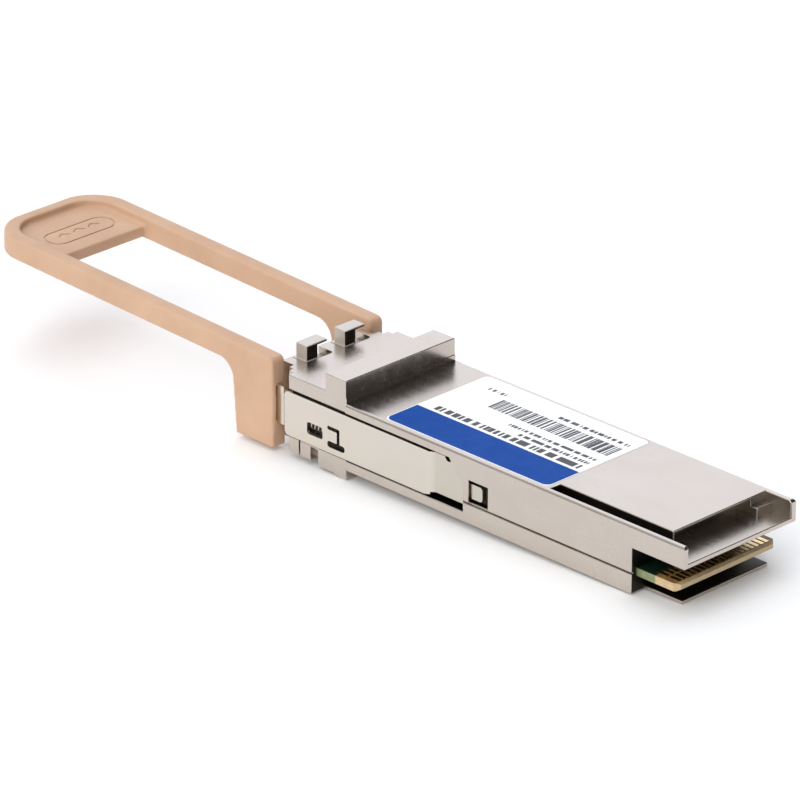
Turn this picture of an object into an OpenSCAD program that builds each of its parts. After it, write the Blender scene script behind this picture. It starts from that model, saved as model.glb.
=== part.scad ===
// Pluggable optical transceiver module with a duplex LC port and a pull tab.
// The origin is the middle of the body's underside at the stop plane, where the
// head meets the cage. +Y points into the cage, -Y to the fibres and the pull
// tab, and +Z is up. Lengths are in millimetres.

/* [Body] */
// Width of the body
body_w = 18.35; // [17.5:0.05:24]
// Height of the body behind the stop plane
body_h = 8.5; // [8:0.1:10.5]
// Length from the stop plane to the hood's rear end
body_len = 54.1; // [50:0.1:70]
// Height of the seam between the housings, behind the latch arms
seam_z = 2.62; // [2.5:0.02:2.9]
// Height of the seam under the latch arms
front_seam_z = 1.24; // [1.1:0.02:1.35]
// Thickness of the upper housing's roof
roof_t = 1.2; // [0.8:0.1:1.5]
// Thickness of the lower housing's floor
floor_t = 0.9; // [0.7:0.05:1.1]
// Thickness of the side walls
side_wall = 1.575; // [1.5:0.025:1.8]
// Thickness of the wall at the stop plane
stop_wall = 1.2; // [0.8:0.1:2]

/* [Hood and heat-sink pad] */
// Length of the hood that overhangs the board's edge
hood_len = 8.06; // [6:0.1:10]
// Height of the hood's underside
hood_gap_z = 5.7; // [5.2:0.1:6.2]
// Thickness of the hood's floor under the rear pocket
hood_floor_t = 0.65; // [0.5:0.05:0.9]
// Distance from the middle to the pad's edge at the groove
pad_edge_x = 6.9; // [5:0.1:7.5]
// Distance from the pad's rear edge to the hood's rear end
pad_setback = 3.9; // [2:0.1:5]
// Distance from the stop plane to the start of the groove beside the pad
groove_y = 32.7; // [31.5:0.1:36]
// Thickness of the rim outside the groove
rim_t = 0.65; // [0.5:0.05:0.8]
// Thickness of the hood's rim on the other side, where there is no groove
far_rim_t = 0.8; // [0.6:0.05:1.2]
// Radius of the long edges of the body's top
top_edge_r = 0.4; // [0.1:0.05:0.45]
// Thickness of metal between the groove and the board space
groove_floor_t = 0.85; // [0.6:0.05:1]
// Width of the lower housing's rear plate
tail_w = 14.2; // [10:0.1:15]
// Thickness of the rear plate
tail_t = 0.5; // [0.3:0.05:0.8]
// Distance from the rear plate's end to the hood's rear end
tail_setback = 2.2; // [1:0.1:4]

/* [Head] */
// Length of the head in front of the stop plane
head_len = 13.4; // [12.8:0.1:16]
// Length of the head's full-width part
shoulder_len = 9.8; // [9.4:0.1:10.2]
// How far the head's sides lie inside the body's sides
head_inset = 0.205; // [0.1:0.01:0.3]
// Height of the head's top
head_top = 9.2; // [9:0.1:9.6]
// Height of the stop ridge across the head
ridge_top = 11.38; // [10.5:0.1:12]
// Length of the stop ridge
ridge_len = 3.5; // [2.5:0.1:4.5]
// Distance from the ridge to the stop plane
ridge_setback = 0.1; // [0:0.05:0.5]
// Depth of the head below the body's underside, at its front
keel_front = 0.8; // [0.5:0.1:1]
// Depth of the head below the body's underside, at its middle
keel_mid = 1.1; // [1:0.1:1.3]
// Depth of the stop lip under the head
keel_lip = 1.4; // [1.3:0.1:2]
// Length of the stop lip
lip_len = 1.8; // [1.2:0.1:2.4]

/* [LC port] */
// Distance between the two fibre axes
port_pitch = 6.25; // [6.25:0.05:7.5]
// Width and height of each port
port_size = 4.6; // [4.4:0.05:4.8]
// Height of the fibre axes
port_z = 4.6; // [4.4:0.05:4.8]
// Depth of each port
port_depth = 8.9; // [8.5:0.1:9.3]
// Thickness of the receptacle's outer walls
receptacle_wall = 0.43; // [0.3:0.01:0.6]
// Thickness of the nose's side walls
nose_wall = 0.7; // [0.5:0.05:1]
// Width of each latch arch
arch_w = 3.3; // [3:0.1:3.8]
// Length of each latch arch
arch_len = 1.9; // [1.4:0.1:2]
// Height of the arches' top
arch_top = 11.1; // [10.5:0.1:11.5]
// Thickness of the arches' top
arch_t = 0.35; // [0.3:0.05:0.9]
// Width of the channel for a plug's latch
latch_gap_w = 2.2; // [2:0.1:2.4]
// Gap between an arch and the edge of its opening in the head
arch_gap = 0.5; // [0.4:0.05:0.6]

/* [Optics] */
// Bore of the ferrule sleeves
ferrule_bore_d = 1.255; // [1.25:0.005:1.3]
// Outer diameter of the ferrule sleeves
sleeve_d = 1.6; // [1.55:0.05:1.9]
// Length of the ferrule sleeves
sleeve_len = 3.6; // [3:0.05:3.8]
// Width of the slit in each sleeve
sleeve_slit = 0.15; // [0.1:0.05:0.3]
// Diameter of the optical sub-assemblies' barrels
barrel_d = 2.9; // [2.4:0.1:3]
// Diameter of the flange on each barrel
flange_d = 4; // [3.5:0.1:4.2]
// Width of each optical sub-assembly
osa_w = 5.4; // [4:0.1:5.6]
// Length of each optical sub-assembly's case
osa_len = 6; // [4:0.1:7]
// Height of each optical sub-assembly
osa_h = 4.8; // [3.6:0.1:4.8]

/* [Board] */
// Thickness of the board
board_t = 1; // [0.8:0.05:1.1]
// Height of the board's top
board_z = 2.98; // [2.9:0.02:3.1]
// Distance from the stop plane to the board's front edge
board_y = 10.2; // [9.5:0.1:11]
// Distance from the board's rear edge to the hood's rear end
board_setback = 1.9; // [1.5:0.1:3]
// Width of the board's plug-in edge
paddle_w = 16.42; // [15.6:0.02:16.5]
// Number of contacts on each side
contact_count = 19; // [8:1:19]
// Distance between contacts
contact_pitch = 0.8; // [0.7:0.01:0.84]
// Width of a contact
contact_w = 0.52; // [0.4:0.02:0.6]
// Length of a contact, its two parts together
contact_len = 3.3; // [2.6:0.1:3.6]

/* [Latch arms] */
// Thickness of the arms
arm_t = 0.4; // [0.3:0.02:0.42]
// Height of the arms' lower edge
arm_low = 1.4; // [1.4:0.02:1.6]
// Height of the arms' upper edge
arm_high = 7.08; // [6.6:0.02:7.15]
// Length of the arms in front of the stop plane
arm_front = 10.3; // [9.9:0.1:10.6]
// Distance from the stop plane to the arms' rear bend
arm_bend = 14; // [12:0.1:14.4]
// Distance from the stop plane to the arms' rear tongue end
arm_end = 22.1; // [21.6:0.1:22.8]
// How far the tab and the arms slide out to release the cage
travel = 3; // [2:0.1:3]

/* [Return springs] */
// Outer diameter of a spring
coil_d = 1.6; // [1.2:0.05:1.65]
// Diameter of the spring wire
wire_d = 0.24; // [0.16:0.02:0.3]
// Number of turns
coil_turns = 11; // [6:1:12]
// Height of the springs' axes
spring_z = 3.56; // [3.5:0.02:3.6]

/* [Pull tab] */
// Distance from the stop plane to the tab's front end
tab_reach = 63.4; // [40:0.1:80]
// Upward tilt of the tab's loop, in degrees
tab_tilt = 2; // [0:0.5:6]
// Height of the tab's bars
bar_h = 2.75; // [2:0.05:3.2]
// Width of the tab's bars
bar_w = 2.1; // [1.6:0.05:2.2]
// Height of the tab's top at the legs
tab_top = 10.3; // [9.8:0.1:11]
// Radius of the tab's front corners
tab_corner_r = 5.4; // [3:0.1:7]
// Length of the web that the finger pulls
web_len = 11.3; // [8:0.1:16]
// Thickness of the web
web_t = 1.5; // [1:0.1:1.8]
// Depth of the web below the rim
web_drop = 0.9; // [0.4:0.05:1]
// Width of the rim along the web's front
rim_w = 1.6; // [1:0.1:2.5]
// Distance from the stop plane to the legs' rear faces
leg_y = 12.4; // [12:0.1:13]
// Length of the legs along Y
leg_len = 6.7; // [5:0.1:9]
// Depth of the legs below the body's underside
leg_drop = 1.2; // [0.4:0.1:1.3]
// Radius between a leg and its bar
leg_fillet = 2.4; // [1:0.1:3]
// How far a leg's foot is set back from its top
leg_lean = 0.3; // [0:0.05:0.6]

/* [Label] */
// Width of the label
label_w = 17.1; // [10:0.1:17.3]
// Length of the label
label_len = 26.4; // [10:0.1:27]
// Distance from the stop plane to the label
label_y = 5.8; // [1:0.1:5.8]
// Thickness of the label
label_t = 0.1; // [0.05:0.01:0.2]
// Radius of the label's corners
label_r = 0.7; // [0.3:0.1:2]

/* [Screws] */
// Diameter of the screws
screw_d = 1.4; // [1.2:0.1:1.5]
// Diameter of the screw heads
screw_head_d = 2.5; // [2.2:0.1:2.6]
// Height of the screw heads
screw_head_h = 0.55; // [0.4:0.05:0.6]
// Length of the screws
screw_len = 4.2; // [3.4:0.1:4.4]

/* [Fits] */
// Gap between pieces that drop into each other
fit_gap = 0.05; // [0.03:0.01:0.08]
// Gap between the arms and the faces they slide along
slide_gap = 0.075; // [0.05:0.005:0.1]
// Gap around the arms' upper edge, seen as a dark line
reveal = 0.25; // [0.15:0.01:0.3]
// Gap between the board and the side walls
board_gap = 0.2; // [0.1:0.02:0.3]
// Radial gap between a sleeve and its barrel
sleeve_gap = 0.02; // [0.01:0.005:0.04]

/* [Hidden] */
$fn = 48;
cut = 1;

// Body
half_w = body_w / 2;
cavity_half = half_w - side_wall;
roof_z = body_h - roof_t;
notch_y = body_len - hood_len;
groove_floor_z = hood_gap_z + hood_floor_t;
low_roof_z = groove_floor_z - groove_floor_t;
low_roof_y = groove_y - 1;
pad_end_y = body_len - pad_setback;
pad_lip_t = 0.4;
block_x = pad_edge_x - 1;
block_h = 1;
bulkhead_t = 1.14;
seam_groove_h = 0.18;
seam_groove_depth = 0.35;
cavity_end_y = notch_y - bulkhead_t;
paddle_pocket_half = paddle_w / 2 + board_gap * 0.7;
paddle_pocket_y = notch_y - 2.64;

// Head
head_half = half_w - head_inset;
receptacle_half = port_pitch / 2 + port_size / 2 + receptacle_wall;
receptacle_pocket_half = receptacle_half + fit_gap;
nose_half = receptacle_pocket_half + nose_wall;
tooth = (head_half - nose_half) / 3;
head_roof_t = 0.9;
head_cavity_z = head_top - head_roof_t;
receptacle_top = head_cavity_z - fit_gap;
receptacle_front = -head_len + 0.1;
receptacle_back = receptacle_front + port_depth + 1.2;
arch_front = receptacle_front + 0.4;
arch_back_t = 0.35;
arch_pocket_r = 0.45;
arch_pocket_y = arch_front + arch_len + 0.35;
arch_wall = 0.3;
arch_far_gap = 0.75;
latch_top = 3.4;
island_gap = 0.14;
optics_half = receptacle_pocket_half + 0.3;

// Optics
barrel_tip = receptacle_front + 3.9;
sleeve_y = barrel_tip + 0.1;
clamp_t = 0.25;
flange_y = receptacle_back + clamp_t;
flange_t = 0.6;
osa_y = 0.6;
flex_t = 0.15;
flex_w = 4.4;
flex_r = 0.9;

// Latch arms and springs
arm_outer = half_w;
arm_inner = arm_outer - arm_t;
recess_x = arm_inner - slide_gap;
jog = 0.425;
deep_recess_x = recess_x - jog;
recess_top = arm_high + reveal;
bend_run = 0.6;
arm_rear_low = arm_low + 0.55;
arm_notch_y = arm_bend + 2.6;
arm_notch_r = 0.55;
step_y = arm_bend + 5.3;
window_y = step_y + 0.86;
window_end_y = arm_end + 1.2;
window_top = 5.5;
tongue_low = 3.1;
tongue_high = 4.95;
strip_in_x = half_w - 1.225;
strip_front = arm_front + 6;
strip_low = arm_low + 0.5;
strip_high = arm_high - 0.18;
lug_y = -2;
lug_low = 3;
lug_x = recess_x - 1.7;
pocket_x = lug_x - 0.1;
pocket_front = -shoulder_len + 0.8;
pocket_low = 2.62;
pocket_high = 4.5;
spring_x = (pocket_x + recess_x) / 2;
spring_clear = 0.03;
// the bars stay clear of the nose, however wide the ports make it
bar_in_x = max(half_w - bar_w, nose_half + slide_gap);
mark_half_len = 5.3;
mark_half_wid = 1.85;
mark_line = 0.24;
mark_depth = 0.15;
wire_sides = 8;
turn_steps = 16;

// Screws: one between the optical sub-assemblies and two beside the board
front_screw = [0, -1.2];
rear_screw = [cavity_half - 1.2, notch_y - 4.24];
boss_r = 1.15;
front_boss_r = 1.3;

// Board
board_low = board_z - board_t;
board_half = cavity_half - board_gap;
board_end = body_len - board_setback;
ledge_half = cavity_half - 1;
chip_size = 9;
chip_y = 20.6;
chip_t = 1;
chip_pad_t = 0.5;
contact_t = 0.04;
contact_split = 0.3;
contact_end_gap = 0.25;

// A block centred on x = 0, given by its half width and its Y and Z limits
module span_box(half_x, y0, y1, z0, z1) {
    translate([-half_x, y0, z0]) cube([2 * half_x, y1 - y0, z1 - z0]);
}

// A block given by its limits along X, Y and Z
module box(x0, x1, y0, y1, z0, z1) {
    translate([x0, y0, z0]) cube([x1 - x0, y1 - y0, z1 - z0]);
}

module both_sides() {
    children();
    mirror([1, 0, 0]) children();
}

// An outline drawn in (Y, Z) and extruded along X from x0 to x1
module side_extrude(x0, x1) {
    translate([x0, 0, 0]) rotate([90, 0, 90]) linear_extrude(x1 - x0) children();
}

// A rod along Y from y0 to y1
module y_rod(d, y0, y1) {
    translate([0, y0, 0]) rotate([-90, 0, 0]) cylinder(d = d, h = y1 - y0);
}

// A rectangle from one corner to the other, with round corners
module round_rect(x0, x1, y0, y1, r) {
    translate([x0 + r, y0]) square([x1 - x0 - 2 * r, y1 - y0]);
    translate([x0, y0 + r]) square([x1 - x0, y1 - y0 - 2 * r]);
    for (x = [x0 + r, x1 - r], y = [y0 + r, y1 - r]) translate([x, y]) circle(r);
}

module at_ports() {
    for (side = [-1, 1]) translate([side * port_pitch / 2, 0, port_z]) children();
}

module at_screws() {
    translate([front_screw[0], front_screw[1], 0]) children();
    for (side = [-1, 1]) translate([side * rear_screw[0], rear_screw[1], 0]) children();
}

function arc(cx, cy, r, from, to, steps) =
    [for (i = [0 : steps]) let (a = from + (to - from) * i / steps) [cx + r * cos(a), cy + r * sin(a)]];

// ---- Housings ----

// The space for one latch arm, with room for its travel
module arm_recess() {
    box(recess_x, half_w + cut, -shoulder_len - cut, step_y - 2.3, front_seam_z - cut, recess_top);
    side_extrude(deep_recess_x, half_w + cut)
        polygon([[arm_bend - travel - bend_run, front_seam_z - cut], [step_y, front_seam_z - cut],
            [step_y, tongue_high - 0.25], [step_y - 2.3, recess_top],
            [arm_bend - travel - bend_run, recess_top]]);
    // tunnel under the strip, and the window that shows the tongue's end
    box(deep_recess_x, arm_inner + jog * 0.2, step_y - cut, window_end_y, seam_z - cut, window_top);
    box(deep_recess_x, half_w + cut, window_y, window_end_y, seam_z - cut, window_top);
    // the slot below the arm's rear part is open to the inside
    box(cavity_half - cut, half_w, arm_bend - 1.4, step_y - 0.1, front_seam_z - cut,
        arm_rear_low);
    // hole behind the notch in the arm's upper edge
    box(cavity_half - cut, half_w - jog, arm_notch_y - arm_notch_r, arm_notch_y + arm_notch_r,
        arm_high - arm_notch_r, arm_high - 0.02);
    // the arm's front strip passes in front of the shoulders
    box(nose_half + tooth * 0.6, half_w + cut, -shoulder_len - cut, pocket_front - 0.5,
        front_seam_z - cut, recess_top);
}

module spring_pocket() {
    box(pocket_x, recess_x + cut, pocket_front, lug_y + 0.6, pocket_low, pocket_high);
}

// A block along Y whose two upper edges are rounded
module round_top(y0, y1, z0) {
    flat_half = half_w - top_edge_r;
    translate([0, y1, 0]) rotate([90, 0, 0]) linear_extrude(y1 - y0) {
        translate([-half_w, z0]) square([body_w, body_h - top_edge_r - z0]);
        translate([-flat_half, z0]) square([2 * flat_half, body_h - z0]);
        for (x = [-flat_half, flat_half]) translate([x, body_h - top_edge_r]) circle(top_edge_r);
    }
}

module upper_shell() {
    round_top(0, notch_y, front_seam_z);
    round_top(notch_y - cut, body_len, hood_gap_z);
    span_box(head_half, -shoulder_len, cut, front_seam_z, head_top);
    span_box(nose_half, -head_len, cut, front_seam_z, head_top);
    for (i = [1, 2])
        span_box(head_half - tooth * i, -shoulder_len - tooth * i, 0, recess_top, head_top);
    span_box(head_half, -ridge_len - ridge_setback, -ridge_setback, head_top - cut, ridge_top);
}

module upper_cavities() {
    // the head is higher than the body only in front of the stop plane
    span_box(half_w + cut, 0, cut + stop_wall, body_h, head_top + cut);
    span_box(half_w + cut, step_y, notch_y + cut, front_seam_z - cut, seam_z);
    span_box(cavity_half, stop_wall, low_roof_y, front_seam_z - cut, roof_z);
    span_box(cavity_half, low_roof_y - cut, cavity_end_y, front_seam_z - cut, low_roof_z);
    span_box(paddle_pocket_half, paddle_pocket_y, notch_y + cut, seam_z - cut, board_z + fit_gap);
    span_box(optics_half, receptacle_back, stop_wall + cut, front_seam_z - cut, roof_z);
    span_box(receptacle_pocket_half, -head_len - cut, receptacle_back + cut,
        front_seam_z - cut, head_cavity_z);
    // openings for the latch arches
    for (side = [-1, 1])
        translate([side * port_pitch / 2, 0, head_cavity_z - cut]) linear_extrude(head_roof_t + 2 * cut)
            round_rect(-arch_w / 2 - arch_far_gap, arch_w / 2 + arch_gap, -head_len - cut,
                arch_pocket_y, arch_pocket_r);
    both_sides() {
        arm_recess();
        spring_pocket();
    }
    // groove beside the heat-sink pad, and pocket behind it
    box(pad_edge_x, half_w - rim_t, groove_y, body_len + cut, groove_floor_z, body_h + cut);
    box(-half_w + far_rim_t, half_w - rim_t, pad_end_y, body_len + cut, groove_floor_z,
        body_h + cut);
    // undercut below the pad's rear edge
    box(-block_x, pad_edge_x - 0.3, pad_end_y - 2.2, pad_end_y + cut, groove_floor_z,
        body_h - pad_lip_t);
    // recess for the label
    translate([0, 0, body_h - label_t + 0.02]) linear_extrude(cut)
        round_rect(-label_w / 2 - 0.05, label_w / 2 + 0.05, label_y - 0.05,
            label_y + label_len + 0.05, label_r);
}

// The hood's rims end in a slope
module rim_ends() {
    side_extrude(-half_w - cut, half_w + cut)
        polygon([[body_len - 0.3, body_h + 0.01], [body_len + 0.1, body_h + 0.01],
            [body_len + 0.1, body_h - 0.4]]);
}

module upper_housing() {
    color([0.80, 0.77, 0.73]) difference() {
        union() {
            difference() {
                upper_shell();
                upper_cavities();
                rim_ends();
            }
            // heat-sink pedestal over the retimer
            span_box(chip_size / 2, chip_y, chip_y + chip_size, board_z + chip_t + chip_pad_t,
                roof_z + 0.2);
            translate([front_screw[0], front_screw[1], front_seam_z])
                cylinder(r = front_boss_r, h = roof_z - front_seam_z + 0.2);
            for (side = [-1, 1])
                translate([side * rear_screw[0], rear_screw[1], floor_t])
                    cylinder(r = boss_r, h = low_roof_z - floor_t + 0.2);
            // ledge block beside the undercut
            box(-half_w + far_rim_t - 0.1, -block_x, pad_end_y - 0.1, pad_end_y + 1,
                groove_floor_z - 0.1, groove_floor_z + block_h);
            // ribs that hold the board down
            both_sides()
                for (y = [12, 26])
                    box(cavity_half - 0.6, cavity_half + 0.2, y, y + 7, board_z, board_z + 1);
        }
        at_screws() cylinder(d = screw_d + 0.04, h = screw_len);
    }
}

// The head's underside, drawn in (Y, Z)
module keel_outline() {
    polygon([[-shoulder_len, front_seam_z], [-shoulder_len, -keel_front + 0.3],
        [-shoulder_len + 0.3, -keel_front], [-4.7, -keel_front], [-4.5, -keel_mid],
        [-lip_len - 0.4, -keel_mid], [-lip_len, -keel_lip], [-ridge_setback, -keel_lip],
        [-ridge_setback, 0], [0, 0], [0, front_seam_z]]);
}

module lower_housing() {
    color([0.77, 0.74, 0.70]) difference() {
        union() {
            difference() {
                union() {
                    span_box(half_w, 0, step_y, 0, front_seam_z);
                    span_box(half_w, step_y, notch_y, 0, seam_z);
                    span_box(tail_w / 2, notch_y - cut, body_len - tail_setback, 0, tail_t);
                    side_extrude(-head_half, head_half) keel_outline();
                    span_box(nose_half, -head_len, -shoulder_len + cut, -keel_front + 0.3,
                        front_seam_z);
                }
                span_box(cavity_half, stop_wall, cavity_end_y, floor_t, seam_z + cut);
                span_box(paddle_pocket_half, paddle_pocket_y, notch_y + cut,
                    board_low - fit_gap, seam_z + cut);
                both_sides() {
                    // slit and notch in the head's lower sides
                    box(head_half - 0.6, head_half + cut, -8.2, -7.95, -keel_front - cut,
                        front_seam_z + cut);
                    box(head_half - 1.3, head_half + cut, -6.2, -4.85, -keel_mid - cut,
                        front_seam_z - 0.25);
                    // groove along the seam
                    box(half_w - seam_groove_depth, half_w + cut, step_y - cut, notch_y,
                        seam_z - seam_groove_h, seam_z + cut);
                }
            }
            // ledges under the board, clear of the upper housing's skirts
            both_sides() {
                box(ledge_half, cavity_half - fit_gap, board_y + 1.5, step_y, floor_t - 0.2,
                    board_low);
                box(ledge_half, cavity_half + 0.2, step_y + fit_gap, paddle_pocket_y,
                    floor_t - 0.2, board_low);
            }
        }
        for (side = [-1, 1])
            translate([side * rear_screw[0], rear_screw[1], floor_t])
                cylinder(r = boss_r + 0.1, h = seam_z);
        screw_holes();
    }
}

// Clearance holes with countersinks, in the floor and in the deeper head
module screw_holes() {
    at_screws() {
        translate([0, 0, -keel_lip - cut]) cylinder(d = screw_d + 0.16, h = keel_lip + seam_z + cut);
        translate([0, 0, -keel_lip - cut])
            cylinder(d = screw_head_d + 0.1, h = keel_lip + cut + screw_head_h);
    }
}

module screw() {
    difference() {
        union() {
            cylinder(d = screw_head_d, h = screw_head_h);
            cylinder(d = screw_d, h = screw_len - 0.2);
        }
        translate([0, 0, -0.01]) cylinder(d = 1.2, h = 0.35, $fn = 6);
    }
}

module housing_screws() {
    color([0.45, 0.45, 0.47]) at_screws() screw();
}

// ---- Duplex LC receptacle and optics ----

// An arch that a connector's latch catches under, with a ledge along its near side and rear;
// heights are from the port's axis
module latch_arch() {
    low = receptacle_top - port_z - cut;
    high = arch_top - port_z;
    rear = arch_front + arch_len;
    difference() {
        union() {
            span_box(arch_w / 2, arch_front, rear, low, high);
            translate([0, 0, low]) linear_extrude(head_top - port_z - low) {
                round_rect(0.3, arch_w / 2 + arch_gap - island_gap, receptacle_front + 0.5,
                    arch_pocket_y - island_gap, arch_pocket_r - island_gap);
                translate([arch_w / 2 - cut, receptacle_front])
                    square([arch_gap - island_gap + cut, 1]);
            }
        }
        // the space behind the catch is open to the rear and to one side
        box(-arch_w / 2 - cut, arch_w / 2 - arch_wall, arch_front + arch_wall, rear + 0.01,
            low + cut, high - arch_t);
    }
}

module lc_receptacle() {
    color([0.74, 0.72, 0.69]) difference() {
        union() {
            span_box(receptacle_half, receptacle_front, receptacle_back, front_seam_z,
                receptacle_top);
            at_ports() latch_arch();
        }
        at_ports() {
            span_box(port_size / 2, receptacle_front - cut, receptacle_front + port_depth,
                -port_size / 2, port_size / 2);
            span_box(latch_gap_w / 2, receptacle_front - cut, arch_front + arch_len - arch_back_t,
                0, latch_top);
            // the latch's shoulders rise through here
            span_box(latch_gap_w / 2, arch_front + 0.9, arch_front + arch_len - arch_back_t, 0,
                latch_top + 0.5);
            y_rod(barrel_d + 2 * fit_gap, receptacle_front + port_depth - cut,
                receptacle_back + cut);
        }
    }
}

module optics() {
    bore_end = sleeve_y + sleeve_len + fit_gap;
    color([0.82, 0.68, 0.36]) translate([port_pitch / 2, 0, port_z]) {
        difference() {
            union() {
                y_rod(barrel_d, barrel_tip, osa_y + cut);
                y_rod(flange_d, flange_y, flange_y + flange_t);
            }
            y_rod(sleeve_d + 2 * sleeve_gap, barrel_tip - cut, bore_end);
        }
        span_box(osa_w / 2, osa_y, osa_y + osa_len, -osa_h / 2, osa_h / 2);
    }
}

module optics_right() {
    optics();
}

module optics_left() {
    mirror([1, 0, 0]) optics();
}

module ferrule_sleeve() {
    color([0.95, 0.95, 0.92]) translate([port_pitch / 2, 0, port_z]) difference() {
        y_rod(sleeve_d, sleeve_y, sleeve_y + sleeve_len);
        y_rod(ferrule_bore_d, sleeve_y - cut, sleeve_y + sleeve_len + cut);
        box(-sleeve_slit / 2, sleeve_slit / 2, sleeve_y - cut, sleeve_y + sleeve_len + cut, 0,
            sleeve_d);
    }
}

module ferrule_sleeve_right() {
    ferrule_sleeve();
}

module ferrule_sleeve_left() {
    mirror([1, 0, 0]) ferrule_sleeve();
}

// Plate that seats the barrels' flanges against the receptacle
module optics_clamp() {
    low = front_seam_z + fit_gap;
    color([0.62, 0.62, 0.64]) difference() {
        span_box(optics_half - 0.1, receptacle_back, receptacle_back + clamp_t, low, roof_z - 0.1);
        at_ports() {
            y_rod(barrel_d + 2 * fit_gap, receptacle_back - cut, receptacle_back + cut);
            span_box(barrel_d / 2 + fit_gap, receptacle_back - cut, receptacle_back + cut,
                low - port_z - cut, 0);
        }
    }
}

// Heat pads between the optical sub-assemblies and the roof
module optics_pads() {
    color([0.55, 0.62, 0.68])
        for (side = [-1, 1])
            translate([side * port_pitch / 2, 0, 0])
                span_box(osa_w / 2 - 0.4, osa_y + 0.9, osa_y + osa_len - 0.3, port_z + osa_h / 2,
                    roof_z);
}

// A flexible circuit from the sub-assembly's back, round a bend and onto the board
module flex() {
    y0 = osa_y + osa_len;
    cy = y0 + flex_r + flex_t;
    cz = board_z + flex_r + flex_t;
    end_y = board_y + 2;
    color([0.80, 0.50, 0.15])
        side_extrude(port_pitch / 2 - flex_w / 2, port_pitch / 2 + flex_w / 2)
            polygon(concat(
                [[y0 + flex_t, port_z + 1.4], [y0, port_z + 1.4]],
                arc(cy, cz, flex_r + flex_t, 180, 270, 8),
                [[end_y, board_z], [end_y, board_z + flex_t]],
                arc(cy, cz, flex_r, 270, 180, 8)));
}

module flex_right() {
    flex();
}

module flex_left() {
    mirror([1, 0, 0]) flex();
}

// ---- Board and what is on it ----

module board_outline() {
    corner = 0.6;
    paddle_half = paddle_w / 2;
    difference() {
        union() {
            translate([-board_half, board_y])
                square([2 * board_half, paddle_pocket_y + fit_gap - board_y + 0.5]);
            polygon([[-paddle_half, paddle_pocket_y + fit_gap], [paddle_half, paddle_pocket_y + fit_gap],
                [paddle_half, board_end - corner], [paddle_half - corner, board_end],
                [-paddle_half + corner, board_end], [-paddle_half, board_end - corner]]);
        }
        for (side = [-1, 1])
            translate([side * rear_screw[0], rear_screw[1]]) circle(boss_r + board_gap);
    }
}

// The rear edge is bevelled above and below, to lead into the socket
module main_board() {
    bevel = 0.22;
    color([0.05, 0.25, 0.17]) difference() {
        translate([0, 0, board_low]) linear_extrude(board_t) board_outline();
        side_extrude(-half_w, half_w)
            polygon([[board_end - 2 * bevel, board_z + 0.01], [board_end + 0.1, board_z + 0.01],
                [board_end + 0.1, board_z - bevel - 0.05]]);
        side_extrude(-half_w, half_w)
            polygon([[board_end - 2 * bevel, board_low - 0.01], [board_end + 0.1, board_low - 0.01],
                [board_end + 0.1, board_low + bevel + 0.05]]);
    }
}

// One row of gold contacts: each has a short front part and a long rear part
module contact_row(z) {
    bevel_run = 0.44;
    rear_len = contact_len * 0.5 - contact_split / 2;
    front_len = contact_len * 0.5 - contact_split / 2;
    end_y = board_end - bevel_run - contact_end_gap * 0.2;
    for (i = [0 : contact_count - 1]) {
        x = (i - (contact_count - 1) / 2) * contact_pitch;
        box(x - contact_w / 2, x + contact_w / 2, end_y - rear_len, end_y, z, z + contact_t);
        box(x - contact_w / 2, x + contact_w / 2, end_y - contact_len, end_y - contact_len + front_len,
            z, z + contact_t);
    }
}

module contacts_top() {
    color([0.85, 0.65, 0.30]) contact_row(board_z);
}

module contacts_bottom() {
    color([0.85, 0.65, 0.30]) contact_row(board_low - contact_t);
}

module on_board(x, y, size) {
    translate([x - size[0] / 2, y, board_z]) cube(size);
}

module retimer_chip() {
    color([0.13, 0.13, 0.14]) on_board(0, chip_y, [chip_size, chip_size, chip_t]);
}

module retimer_pad() {
    color([0.55, 0.62, 0.68]) translate([0, 0, chip_t])
        on_board(0, chip_y + 0.5, [chip_size - 1, chip_size - 1, chip_pad_t]);
}

module laser_driver() {
    color([0.13, 0.13, 0.14]) on_board(port_pitch / 2, board_y + 4.4, [4, 3.2, 0.7]);
}

module receiver_amp() {
    color([0.13, 0.13, 0.14]) on_board(-port_pitch / 2, board_y + 4.4, [4, 3.2, 0.7]);
}

module microcontroller() {
    color([0.13, 0.13, 0.14]) on_board(-1.2, chip_y + chip_size + 4.2, [5, 5, 0.9]);
}

module power_inductors() {
    color([0.30, 0.29, 0.28])
        for (y = [0, 3]) on_board(4.4, chip_y + chip_size + 3.2 + y, [2.5, 2, 1.2]);
}

module oscillator() {
    color([0.75, 0.70, 0.55]) on_board(-5.4, chip_y + chip_size + 1, [2, 2.5, 0.8]);
}

// Rows of small capacitors beside the retimer
module chip_capacitors() {
    color([0.66, 0.56, 0.44])
        for (side = [-1, 1], i = [0 : 5])
            on_board(side * (chip_size / 2 + 0.9), chip_y + 0.6 + 1.35 * i, [0.5, 1, 0.5]);
}

// ---- Latch arms, springs and pull tab ----

// The slots that free the tongue with the spring lug, drawn in (Y, Z)
module tongue_slots() {
    round_rect(-3.05, -1, 4.4, 4.87, 0.22);
    round_rect(-3.05, -0.15, 2.15, lug_low - 0.05, 0.35);
    translate([-1.5, 2.5]) square([0.5, 2.1]);
}

module arm_plate() {
    side_extrude(arm_inner, arm_outer) difference() {
        union() {
            round_rect(-arm_front, 0, arm_low, arm_high, 0.6);
            polygon([[-arm_front + 1, arm_low], [arm_bend - 1, arm_low], [arm_bend, arm_low + 0.25],
                [arm_bend, arm_high], [-arm_front + 1, arm_high]]);
        }
        // window over the spring
        round_rect(-6.5, -3.85, 2.72, 4.25, 0.35);
        tongue_slots();
    }
}

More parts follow.
